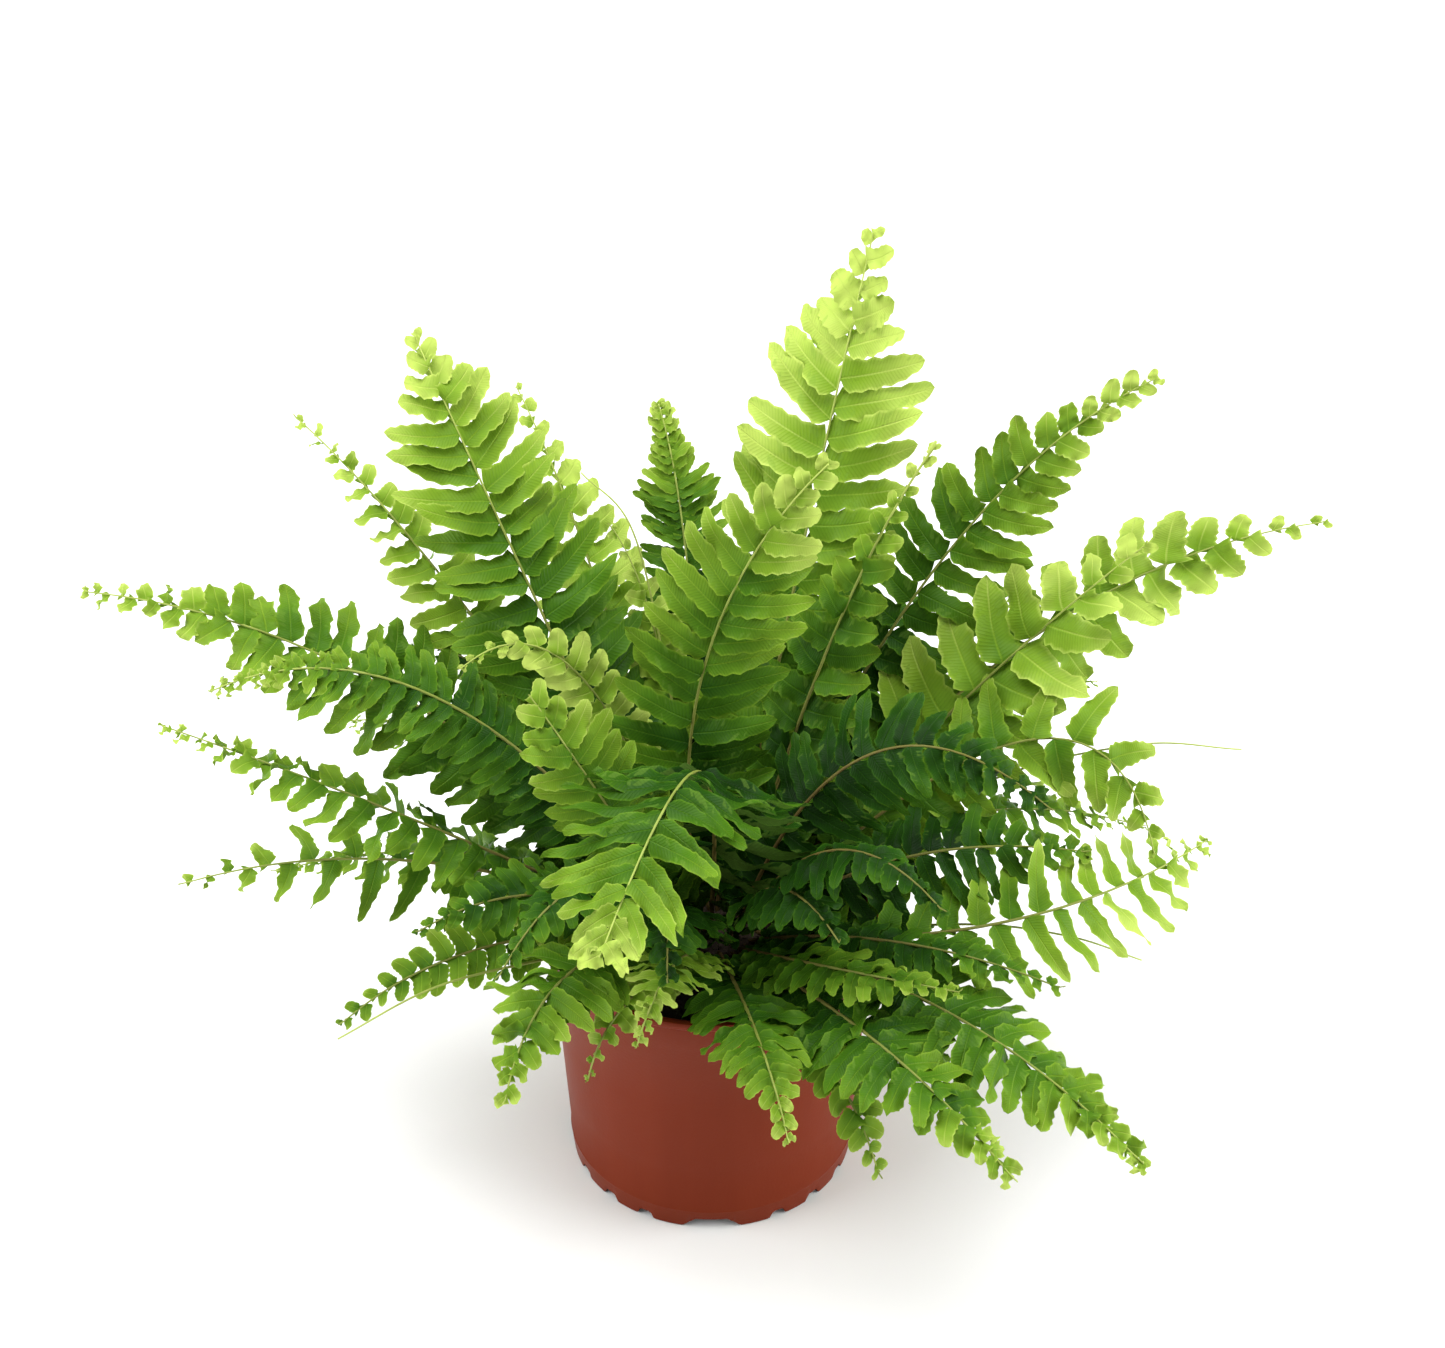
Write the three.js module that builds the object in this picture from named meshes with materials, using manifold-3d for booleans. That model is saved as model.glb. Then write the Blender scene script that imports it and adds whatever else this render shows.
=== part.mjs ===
// A young sword fern in a 12 cm nursery pot. Millimetres, +Z up.
// The origin is the centre of the pot's foot, on the surface that the pot stands on.

import * as THREE from "three";
import Module from "manifold-3d";
import { mergeVertices } from "three/addons/utils/BufferGeometryUtils.js";

const wasm = await Module();
wasm.setup();

// Pot
const potHeight = 104;
const footRadius = 52.5;
const wallTopRadius = 58.5;
const rimRadius = 60.5;
const rimHeight = 3;
const wallThickness = 1.4;
const footHeight = 6;
const footWidth = 4.5;
const potSides = 48;
const archNotch = { width: 22, top: 12, depth: 4.5 };
const slotNotch = { width: 7, top: 4, depth: 3.5 };
const slotAngles = [27.5, 45, 62.5];
const drainCount = 6;
const drainRadius = 4;
const drainRing = 33;

// Potting mix and crown
const soilGap = 0.4;
const soilTop = 91;
const soilDome = 3;
const crownFoot = 94.6;
const crownTop = 100;
const crownRadius = 27;

// Fronds
const frondStart = crownTop + 0.5;
const ribThickness = 0.7;
const stalkHalf = 1.1;
const frondRings = 24;
const notchShare = 0.62;
const bareShare = 0.3;

// Runners
const runnerRadius = 0.6;
const runnerSides = 8;
const runnerSteps = 20;

const potColour = 0x8e3f28;
const soilColour = 0x2a1c14;
const crownColour = 0x4a3320;
const runnerColour = 0x8a8a4a;
const leafColours = { young: 0x9cc23c, grown: 0x5f9e2e, old: 0x2f6b33 };

const fern = new THREE.Group();

function addPiece(name, geometry, colour, roughness) {
  const material = new THREE.MeshStandardMaterial({ color: colour, roughness, metalness: 0 });
  const mesh = new THREE.Mesh(geometry, material);
  mesh.name = name;
  fern.add(mesh);
}

function toSolid(geometry) {
  const bare = geometry.clone();
  bare.deleteAttribute("normal");
  bare.deleteAttribute("uv");
  const merged = mergeVertices(bare, 1e-4);
  return new wasm.Manifold(new wasm.Mesh({
    numProp: 3,
    vertProperties: new Float32Array(merged.attributes.position.array),
    triVerts: new Uint32Array(merged.index.array),
  }));
}

function toGeometry(solid) {
  const mesh = solid.getMesh();
  const geometry = new THREE.BufferGeometry();
  geometry.setAttribute("position", new THREE.BufferAttribute(mesh.vertProperties, 3));
  geometry.setIndex(new THREE.BufferAttribute(mesh.triVerts, 1));
  geometry.computeVertexNormals();
  return geometry;
}

// Turns a profile of [radius, height] points round the Z axis.
function turned(profile, sides) {
  const points = profile.map(([radius, height]) => new THREE.Vector2(radius, height));
  const geometry = new THREE.LatheGeometry(points, sides);
  geometry.rotateX(Math.PI / 2);
  return geometry;
}

function wallRadius(height) {
  return footRadius + (wallTopRadius - footRadius) * height / potHeight;
}

// A notch is a blunt wedge cut up through the foot, at an angle in degrees from the front.
function notchSolid(notch, angle) {
  const outline = new THREE.Shape([
    new THREE.Vector2(-notch.width / 2, -1),
    new THREE.Vector2(notch.width / 2, -1),
    new THREE.Vector2(notch.top / 2, notch.depth),
    new THREE.Vector2(-notch.top / 2, notch.depth),
  ]);
  const wedge = new THREE.ExtrudeGeometry(outline, { depth: 14, bevelEnabled: false });
  wedge.rotateX(Math.PI / 2);
  wedge.translate(0, -footRadius + 10, 0);
  wedge.rotateZ(THREE.MathUtils.degToRad(angle));
  return toSolid(wedge);
}

// The pot is one thin moulding: a tapered wall, a small rim, and a floor raised on a notched foot.
function potGeometry() {
  const floorTop = footHeight + wallThickness;
  const profile = [
    [0, footHeight],
    [footRadius - footWidth - 1.5, footHeight],
    [footRadius - footWidth, 0],
    [footRadius, 0],
    [wallRadius(footHeight) + 0.6, footHeight],
    [wallRadius(footHeight), footHeight + 0.6],
    [wallTopRadius, potHeight - rimHeight],
    [rimRadius, potHeight - rimHeight + 0.8],
    [rimRadius, potHeight - 0.6],
    [rimRadius - 0.8, potHeight],
    [wallTopRadius - 0.6, potHeight],
    [wallTopRadius - wallThickness, potHeight - 2],
    [wallRadius(floorTop) - wallThickness, floorTop + 2],
    [wallRadius(floorTop) - wallThickness - 2, floorTop],
    [0, floorTop],
  ];
  let pot = toSolid(turned(profile, potSides));
  for (const quarter of [0, 90, 180, 270]) {
    pot = pot.subtract(notchSolid(archNotch, quarter));
    for (const angle of slotAngles) pot = pot.subtract(notchSolid(slotNotch, quarter + angle));
  }
  for (let i = 0; i < drainCount; i++) {
    const drain = new THREE.CylinderGeometry(drainRadius, drainRadius, 12, 16);
    drain.rotateX(Math.PI / 2);
    drain.translate(drainRing, 0, footHeight);
    drain.rotateZ((i + 0.5) * 2 * Math.PI / drainCount);
    pot = pot.subtract(toSolid(drain));
  }
  return toGeometry(pot);
}

// The potting mix fills the pot to a low dome below the rim.
function soilGeometry() {
  const inner = (height) => wallRadius(height) - wallThickness - soilGap;
  const bottom = footHeight + wallThickness + soilGap;
  const profile = [
    [0, bottom],
    [inner(bottom) - 4, bottom],
    [inner(bottom) - 1.5, bottom + 3.5],
    [inner(soilTop) - 1, soilTop - 1],
    [inner(soilTop) * 0.85, soilTop + 0.6],
    [inner(soilTop) * 0.6, soilTop + soilDome * 0.8],
    [0, soilTop + soilDome],
  ];
  return turned(profile, 40);
}

// The crown is the woody clump that every frond rises from.
function crownGeometry() {
  const profile = [
    [0, crownFoot],
    [crownRadius - 1, crownFoot],
    [crownRadius, crownFoot + 1.5],
    [crownRadius - 2, crownTop - 1],
    [crownRadius - 4, crownTop],
    [0, crownTop],
  ];
  return turned(profile, 28);
}

// A frond follows one parabola that leaves the crown, passes through mid halfway and ends at tip.
// ring is the distance of its foot from the crown's centre, half is half its greatest width,
// and face is the direction that its upper side looks, where that isn't up and inwards.
const fronds = [
  { name: "back_tall", ring: 12, mid: [30, 42, 222], tip: [55, 85, 330], half: 36,
    face: [-0.3, -0.9, 0.4], age: "grown" },
  { name: "left_tall", ring: 13, mid: [-58, 38, 205], tip: [-103, 88, 290], half: 34,
    face: [0.3, -0.85, 0.45], age: "grown" },
  { name: "left_tall_rear", ring: 15, mid: [-42, 85, 190], tip: [-72, 133, 246], half: 24,
    face: [0.2, -0.8, 0.5], age: "young" },
  { name: "dark_narrow", ring: 17, mid: [-8, 72, 198], tip: [-19, 112, 250], half: 19,
    face: [0, -0.8, 0.5], age: "old" },
  { name: "lime_left", ring: 17, mid: [-90, 62, 198], tip: [-152, 112, 246], half: 20,
    face: [0.3, -0.7, 0.6], age: "young" },
  { name: "left_long", ring: 17, mid: [-114, 32, 180], tip: [-223, 60, 203], half: 24,
    face: [0, -0.6, 0.8], age: "grown" },
  { name: "left_arch", ring: 14, mid: [-90, -5, 200], tip: [-172, 10, 194], half: 21,
    face: [0, -0.5, 0.85], age: "grown" },
  { name: "left_edge", ring: 18, mid: [-105, -16, 160], tip: [-190, 8, 181], half: 22,
    face: [0, 0.05, 1], age: "grown" },
  { name: "left_sparse", ring: 21, mid: [-105, -5, 132], tip: [-187, -8, 124], half: 19,
    face: [0, -0.5, 0.85], age: "grown" },
  { name: "round_left", ring: 22, mid: [-80, -30, 113], tip: [-127, -52, 98], half: 14,
    face: [0, -0.6, 0.8], age: "grown" },
  { name: "drop_left", ring: 20, mid: [-48, -62, 128], tip: [-67, -105, 110], half: 25, age: "young" },
  { name: "center_tall", ring: 5, mid: [-3, -5, 210], tip: [38, 5, 286], half: 32,
    face: [0, -1, 0.3], age: "grown" },
  { name: "coil_tip", ring: 10, mid: [42, 24, 207], tip: [75, 38, 274], half: 20,
    face: [-0.4, -1, 0.4], age: "young" },
  { name: "right_tall", ring: 15, mid: [80, 62, 212], tip: [152, 68, 284], half: 30,
    face: [-0.3, -0.8, 0.5], age: "grown" },
  { name: "right_long", ring: 19, mid: [118, 68, 179], tip: [221, 82, 219], half: 24,
    face: [-0.1, -0.7, 0.7], age: "young" },
  { name: "right_light", ring: 15, mid: [92, 30, 180], tip: [151, 42, 234], half: 27,
    face: [-0.3, -0.7, 0.6], age: "young" },
  { name: "right_dark_upper", ring: 10, mid: [53, -22, 190], tip: [113, -36, 178], half: 28,
    face: [0.1, -0.55, 0.8], age: "old" },
  { name: "right_dark_lower", ring: 18, mid: [68, -12, 139], tip: [132, -5, 136], half: 21,
    face: [0.1, -0.5, 0.85], age: "old" },
  { name: "right_hanging", ring: 20, mid: [101, -34, 128], tip: [180, 25, 118], half: 17,
    face: [0, -0.6, 0.8], age: "young" },
  { name: "right_curved", ring: 17, mid: [110, 12, 172], tip: [155, -8, 138], half: 17,
    face: [0, -0.7, 0.6], age: "young" },
  { name: "front_small", ring: 19, mid: [45, -62, 130], tip: [82, -78, 134], half: 16, age: "grown" },
  { name: "front_right", ring: 21, mid: [80, -75, 122], tip: [139, -122, 100], half: 18, age: "grown" },
  { name: "front_fall", ring: 22, mid: [57, -92, 122], tip: [97, -132, 102], half: 17, age: "grown" },
  { name: "front_center", ring: 20, mid: [16, -88, 122], tip: [25, -122, 110], half: 21, age: "grown" },
  { name: "front_rounded", ring: 23, mid: [38, -80, 108], tip: [56, -105, 78], half: 9, age: "young" },
  { name: "center_arch", ring: 6, mid: [-4, -48, 202], tip: [-33, -127, 190], half: 30, age: "old" },
  { name: "left_mid", ring: 10, mid: [-35, -38, 182], tip: [-58, -35, 222], half: 19,
    face: [0.1, -0.85, 0.5], age: "young" },
  { name: "lime_small", ring: 8, mid: [-43, 6, 201], tip: [-84, 4, 208], half: 12,
    face: [0, -0.7, 0.7], age: "young" },
  { name: "front_tiny", ring: 23, mid: [-30, -68, 118], tip: [-41, -80, 98], half: 9, age: "young" },
  { name: "front_pale", ring: 18, mid: [-14, -68, 134], tip: [-24, -88, 120], half: 17, age: "young" },
  { name: "left_pale", ring: 22, mid: [-52, -28, 128], tip: [-85, -32, 132], half: 14,
    face: [0, -0.6, 0.8], age: "young" },
  { name: "fill_left", ring: 14, mid: [-56, -34, 140], tip: [-98, -54, 140], half: 18,
    face: [0, -0.5, 0.85], age: "old" },
  { name: "fill_front_left", ring: 13, mid: [-38, -52, 160], tip: [-68, -92, 152], half: 20, age: "old" },
  { name: "fill_front_right", ring: 12, mid: [40, -42, 165], tip: [75, -78, 168], half: 20, age: "old" },
  { name: "fill_right", ring: 19, mid: [66, -43, 126], tip: [118, -62, 122], half: 15, age: "grown" },
  { name: "fill_rear_left", ring: 14, mid: [-70, 55, 160], tip: [-112, 80, 165], half: 20,
    face: [0, -0.5, 0.85], age: "old" },
  { name: "fill_rear_right", ring: 16, mid: [50, 64, 160], tip: [92, 110, 178], half: 20, age: "old" },
  { name: "fill_rear", ring: 14, mid: [25, 68, 165], tip: [45, 120, 195], half: 20, age: "old" },
  { name: "lime_rear", ring: 12, mid: [-18, 50, 182], tip: [-36, 74, 222], half: 15,
    face: [0, -0.8, 0.5], age: "young" },
  { name: "center_low_left", ring: 12, mid: [-12, -42, 140], tip: [-14, -82, 142], half: 21, age: "old" },
  { name: "center_low_right", ring: 12, mid: [22, -38, 146], tip: [42, -74, 152], half: 21, age: "old" },
  { name: "fill_rear_tall", ring: 8, mid: [12, 44, 185], tip: [20, 74, 226], half: 17, age: "old" },
  { name: "front_left_low", ring: 21, mid: [-42, -50, 114], tip: [-60, -80, 118], half: 13, age: "grown" },
  { name: "rear_right", ring: 20, mid: [82, 68, 140], tip: [150, 118, 125], half: 22, age: "grown" },
  { name: "rear_right_low", ring: 23, mid: [90, 40, 118], tip: [165, 68, 92], half: 20, age: "grown" },
  { name: "rear_mid_right", ring: 21, mid: [45, 82, 135], tip: [80, 131, 112], half: 20, age: "grown" },
  { name: "rear_mid", ring: 20, mid: [8, 85, 145], tip: [5, 132, 135], half: 22, age: "grown" },
  { name: "rear_mid_left", ring: 21, mid: [-38, 82, 130], tip: [-68, 130, 108], half: 20, age: "grown" },
  { name: "rear_left", ring: 20, mid: [-82, 62, 132], tip: [-150, 108, 112], half: 22, age: "grown" },
  { name: "rear_left_low", ring: 23, mid: [-90, 25, 112], tip: [-165, 45, 88], half: 18, age: "grown" },
  { name: "rear_low", ring: 24, mid: [10, 72, 112], tip: [25, 112, 78], half: 15, age: "young" },
  { name: "rear_low_left", ring: 24, mid: [-55, 55, 112], tip: [-88, 88, 78], half: 15, age: "young" },
];

function halfWidth(t, half) {
  if (t < bareShare) return stalkHalf;
  const along = (t - bareShare) / (1 - bareShare);
  const opening = Math.min(1, 0.4 + along * 1.8);
  const closing = Math.min(1, (1 - along) * 1.9) ** 0.8;
  return Math.max(stalkHalf, half * opening * closing);
}

function frondCurve(frond) {
  const mid = new THREE.Vector3(...frond.mid);
  const tip = new THREE.Vector3(...frond.tip);
  const outward = new THREE.Vector3(mid.x, mid.y, 0).normalize();
  const foot = outward.multiplyScalar(frond.ring).setZ(frondStart);
  const pull = mid.clone().multiplyScalar(2).sub(foot.clone().add(tip).multiplyScalar(0.5));
  return new THREE.QuadraticBezierCurve3(foot, pull, tip);
}

function frondGeometry(frond) {
  const curve = frondCurve(frond);
  const reach = curve.v2.clone().sub(curve.v0).setZ(0).normalize();
  const level = new THREE.Vector3(0, 0, 1).cross(reach);
  const positions = [];
  for (let i = 0; i <= frondRings; i++) {
    const t = i / frondRings;
    const centre = curve.getPoint(t);
    const along = i === 0 ? new THREE.Vector3(0, 0, 1) : curve.getTangent(t);
    const side = frond.face ? new THREE.Vector3(...frond.face).cross(along) : level.clone();
    const across = side.addScaledVector(along, -side.dot(along)).normalize();
    const up = new THREE.Vector3().crossVectors(along, across).normalize();
    const full = halfWidth(t, frond.half);
    const half = i % 2 ? full : Math.max(stalkHalf, full * notchShare);
    const rib = ribThickness * (1 - 0.6 * t);
    for (const offset of [
      across.clone().multiplyScalar(half),
      up.clone().multiplyScalar(rib),
      across.clone().multiplyScalar(-half),
      up.clone().multiplyScalar(-rib),
    ]) {
      positions.push(...centre.clone().add(offset).toArray());
    }
  }
  const faces = [0, 2, 1, 0, 3, 2];
  for (let i = 0; i < frondRings; i++) {
    for (let j = 0; j < 4; j++) {
      const a = i * 4 + j;
      const b = i * 4 + (j + 1) % 4;
      faces.push(a, b, b + 4, a, b + 4, a + 4);
    }
  }
  const end = frondRings * 4;
  faces.push(end, end + 1, end + 2, end, end + 2, end + 3);
  const geometry = new THREE.BufferGeometry();
  geometry.setAttribute("position", new THREE.Float32BufferAttribute(positions, 3));
  geometry.setIndex(faces);
  geometry.computeVertexNormals();
  return geometry;
}

// Runners are bare creeping stems, and one bare stalk has lost its leaflets.
const runners = [
  { name: "runner_left", points: [[-21, -10, 101], [-60, -38, 114], [-95, -50, 112], [-128, -58, 96]] },
  { name: "runner_right", points: [[20, 6, 101], [95, 28, 140], [150, 26, 160], [188, 22, 161]] },
  { name: "runner_front", points: [[22, -8, 101], [88, -18, 114], [125, -22, 112], [152, -22, 101]] },
  { name: "bare_stalk", points: [[-1, 6, 101], [-16, 40, 182], [-28, 62, 228], [-46, 74, 244]] },
];

function runnerGeometry(runner) {
  const path = new THREE.CatmullRomCurve3(runner.points.map((point) => new THREE.Vector3(...point)));
  const section = new THREE.Shape();
  for (let i = 0; i < runnerSides; i++) {
    const angle = i * 2 * Math.PI / runnerSides;
    const x = runnerRadius * Math.cos(angle);
    const y = runnerRadius * Math.sin(angle);
    if (i === 0) section.moveTo(x, y);
    else section.lineTo(x, y);
  }
  return new THREE.ExtrudeGeometry(section, { steps: runnerSteps, extrudePath: path });
}

addPiece("pot", potGeometry(), potColour, 0.45);
addPiece("soil", soilGeometry(), soilColour, 0.95);
addPiece("crown", crownGeometry(), crownColour, 0.9);
for (const frond of fronds) {
  addPiece("frond_" + frond.name, frondGeometry(frond), leafColours[frond.age], 0.5);
}
for (const runner of runners) {
  addPiece(runner.name, runnerGeometry(runner), runnerColour, 0.6);
}

export default fern;
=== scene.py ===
import math
import random
import time

import bmesh
import bpy
import numpy as np
from mathutils import Matrix, Vector, noise


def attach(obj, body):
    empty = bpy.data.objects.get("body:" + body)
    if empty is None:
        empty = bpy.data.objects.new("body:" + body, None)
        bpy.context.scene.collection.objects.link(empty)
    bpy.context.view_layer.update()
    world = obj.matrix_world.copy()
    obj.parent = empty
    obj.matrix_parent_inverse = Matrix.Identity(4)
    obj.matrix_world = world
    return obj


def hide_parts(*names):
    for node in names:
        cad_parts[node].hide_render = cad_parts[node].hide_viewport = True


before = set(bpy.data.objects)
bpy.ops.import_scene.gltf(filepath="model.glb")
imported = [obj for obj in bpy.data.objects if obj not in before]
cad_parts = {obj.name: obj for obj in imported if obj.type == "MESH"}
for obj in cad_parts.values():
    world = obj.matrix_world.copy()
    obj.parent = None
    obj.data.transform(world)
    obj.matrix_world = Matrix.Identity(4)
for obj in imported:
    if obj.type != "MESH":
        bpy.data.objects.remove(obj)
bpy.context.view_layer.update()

started = time.time()
scene = bpy.context.scene
mm = 0.001


def say(words):
    print(f"{time.time() - started:6.1f} s  {words}")


studio = {
    "eye": (0.004, -0.7587, 0.7158),
    "tilt": 56.2,               # degrees up from looking straight down
    "lens": 67.3,
    "skyColour": (1.0, 1.0, 1.0),
    "skyPower": 0.45,
    "lamps": [
        dict(name="leftBox", place=(-1.3, -0.3, 0.7), size=1.2, power=18.0),
        dict(name="rightBox", place=(1.4, -0.2, 0.6), size=1.2, power=25.0),
        dict(name="topBox", place=(-0.2, 0.2, 1.8), size=1.8, power=40.0),
    ],
    "lampAim": (0, 0, 0.15),
    "floorHalf": 6.0,
    "floorColour": (0.90, 0.90, 0.895, 1),
    "floorRoughness": 0.85,
    "floorShine": 0.2,
}


def addAreaLight(lampPlan, aim):
    lamp = bpy.data.lights.new(lampPlan["name"], "AREA")
    lamp.shape = "DISK"
    lamp.size = lampPlan["size"]
    lamp.energy = lampPlan["power"]
    holder = bpy.data.objects.new(lampPlan["name"], lamp)
    holder.location = lampPlan["place"]
    beam = Vector(aim) - Vector(lampPlan["place"])
    holder.rotation_euler = beam.to_track_quat("-Z", "Y").to_euler()
    scene.collection.objects.link(holder)


def buildStudio():
    lens = bpy.data.cameras.new("camera")
    lens.lens = studio["lens"]
    lens.sensor_width = 36
    lens.clip_end = 50
    camera = bpy.data.objects.new("camera", lens)
    camera.location = studio["eye"]
    camera.rotation_euler = (math.radians(studio["tilt"]), 0, 0)
    scene.collection.objects.link(camera)
    scene.camera = camera

    sky = bpy.data.worlds.new("sky")
    sky.use_nodes = True
    background = sky.node_tree.nodes["Background"]
    background.inputs["Color"].default_value = (*studio["skyColour"], 1)
    background.inputs["Strength"].default_value = studio["skyPower"]
    scene.world = sky
    for lampPlan in studio["lamps"]:
        addAreaLight(lampPlan, studio["lampAim"])
    scene.view_settings.view_transform = "Standard"

    bm = bmesh.new()
    bmesh.ops.create_grid(bm, x_segments=1, y_segments=1, size=studio["floorHalf"])
    floor = finishPiece(bm, "floor", [paperFloor()])


def finishPiece(bm, name, materials, node=None, sharp=None):
    return placePiece(meshFrom(bm, name), name, materials, node, sharp)


def meshFrom(bm, name):
    mesh = bpy.data.meshes.new(name)
    bm.to_mesh(mesh)
    bm.free()
    return mesh


# Every piece ends here, with its materials and smooth shading, and rides the root body in place of the
# node that it stands for
def placePiece(mesh, name, materials, node, sharp):
    for material in materials:
        mesh.materials.append(material)
    mesh.polygons.foreach_set("use_smooth", np.ones(len(mesh.polygons), bool))
    if sharp is not None:
        mesh.set_sharp_from_angle(angle=math.radians(sharp))
    piece = bpy.data.objects.new(name, mesh)
    scene.collection.objects.link(piece)
    if node:
        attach(piece, "root")
        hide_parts(node)
    return piece


# Turns a profile of radii and heights once round the upright axis
def lathe(profile, steps):
    bm = bmesh.new()
    line = [bm.verts.new((0, -radius, height)) for radius, height in profile]
    edges = [bm.edges.new(pair) for pair in zip(line, line[1:])]
    bmesh.ops.spin(bm, geom=line + edges, cent=(0, 0, 0), axis=(0, 0, 1), steps=steps,
                   angle=2 * math.pi, use_merge=True)
    bmesh.ops.remove_doubles(bm, verts=bm.verts, dist=1e-4)
    bmesh.ops.recalc_face_normals(bm, faces=bm.faces)
    return bm


def newMaterial(name):
    material = bpy.data.materials.new(name)
    material.use_nodes = True
    tree = material.node_tree
    return material, tree, tree.nodes["Principled BSDF"]


def addNode(tree, kind, **settings):
    node = tree.nodes.new(kind)
    for key, value in settings.items():
        setattr(node, key, value)
    return node


# A shared effect as a node group, with its own inputs and outputs by name
def newGroup(name, inputs, outputs):
    tree = bpy.data.node_groups.new(name, "ShaderNodeTree")
    for way, sockets in (("INPUT", inputs), ("OUTPUT", outputs)):
        for words, kind in sockets.items():
            tree.interface.new_socket(name=words, in_out=way, socket_type="NodeSocket" + kind)
    return tree, addNode(tree, "NodeGroupInput").outputs, addNode(tree, "NodeGroupOutput").inputs


# Gives a socket a number, a colour or a link, whichever the value is
def feed(tree, value, socket):
    if isinstance(value, (int, float)):
        socket.default_value = value
    elif isinstance(value, tuple):
        socket.default_value = (*value, 1)
    else:
        tree.links.new(value, socket)


def useGroup(tree, group, given):
    node = addNode(tree, "ShaderNodeGroup", node_tree=group)
    for words, value in given.items():
        feed(tree, value, node.inputs[words])
    return node.outputs


def mathNode(tree, operation, a, b=None, clamp=False):
    node = addNode(tree, "ShaderNodeMath", operation=operation, use_clamp=clamp)
    feed(tree, a, node.inputs[0])
    if b is not None:
        feed(tree, b, node.inputs[1])
    return node.outputs[0]


def times(tree, a, b, clamp=False):
    return mathNode(tree, "MULTIPLY", a, b, clamp)


def plus(tree, a, b, clamp=False):
    return mathNode(tree, "ADD", a, b, clamp)


def minus(tree, a, b, clamp=False):
    return mathNode(tree, "SUBTRACT", a, b, clamp)


def mixColour(tree, factor, a, b):
    node = addNode(tree, "ShaderNodeMix", data_type="RGBA", blend_type="MIX")
    for socket, value in ((0, factor), (6, a), (7, b)):
        feed(tree, value, node.inputs[socket])
    return node.outputs[2]


def objectPlace(tree):
    return addNode(tree, "ShaderNodeTexCoord").outputs["Object"]


def toneOf(tree):
    return addNode(tree, "ShaderNodeAttribute", attribute_name="tone").outputs["Fac"]


def noiseAt(tree, place, scale, detail):
    node = addNode(tree, "ShaderNodeTexNoise")
    feed(tree, scale, node.inputs["Scale"])
    feed(tree, detail, node.inputs["Detail"])
    feed(tree, place, node.inputs["Vector"])
    return node.outputs["Fac"]


def ramp(tree, factor, stops):
    node = addNode(tree, "ShaderNodeValToRGB")
    elements = node.color_ramp.elements
    while len(elements) < len(stops):
        elements.new(0.5)
    for element, (place, colour) in zip(elements, stops):
        element.position = place
        element.color = (*colour, 1)
    tree.links.new(factor, node.inputs[0])
    return node.outputs[0]


def bumpNode(tree, height, strength, distance):
    node = addNode(tree, "ShaderNodeBump")
    feed(tree, strength, node.inputs["Strength"])
    feed(tree, distance, node.inputs["Distance"])
    feed(tree, height, node.inputs["Height"])
    return node.outputs[0]


def paperFloor():
    material, tree, shader = newMaterial("paperFloor")
    shader.inputs["Base Color"].default_value = studio["floorColour"]
    shader.inputs["Roughness"].default_value = studio["floorRoughness"]
    shader.inputs["Specular IOR Level"].default_value = studio["floorShine"]
    return material


leafPaint = {
    "stops": [
        (0.00, (0.008, 0.035, 0.003)),
        (0.22, (0.023, 0.090, 0.006)),
        (0.48, (0.084, 0.215, 0.011)),
        (0.75, (0.245, 0.415, 0.030)),
        (1.00, (0.590, 0.720, 0.150)),
    ],
    "patches": 0.22,            # how far the shade wanders, and what the next three add to it
    # painted highlight: a lighter band along each leaflet's margin, standing in for light caught by its
    # toothed edge
    "edgeHighlight": 0.17,
    "midvein": 0.16,
    "veins": 0.03,
    "patchScale": 55.0,
    "edgeHighlightStart": 0.80,        # share of the way out where the painted highlight along the margin starts
    "edgeHighlightRise": 5.0,
    "midveinNarrow": 11.0,
    "veinCount": 26.0,          # side veins along a leaflet
    "veinSlant": 2.2,           # they run forward this many of their distances on the way out
    "grainScale": 260.0,
    "glow": 0.35,               # share of the light that passes through
    "glowDark": (0.008, 0.055, 0.003),
    "glowLight": (0.540, 0.740, 0.080),
    "glowCurve": 1.9,           # above 1 keeps the dark leaves from glowing
    "glossScale": 120.0,
    "glossSpread": 0.2,         # how far the roughness wanders above its least
    "upper": dict(roughness=0.22, pale=0),
    "under": dict(roughness=0.48, pale=0.3),
    "paleUnder": (0.20, 0.36, 0.05),
    "shine": 0.085,
}
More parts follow.
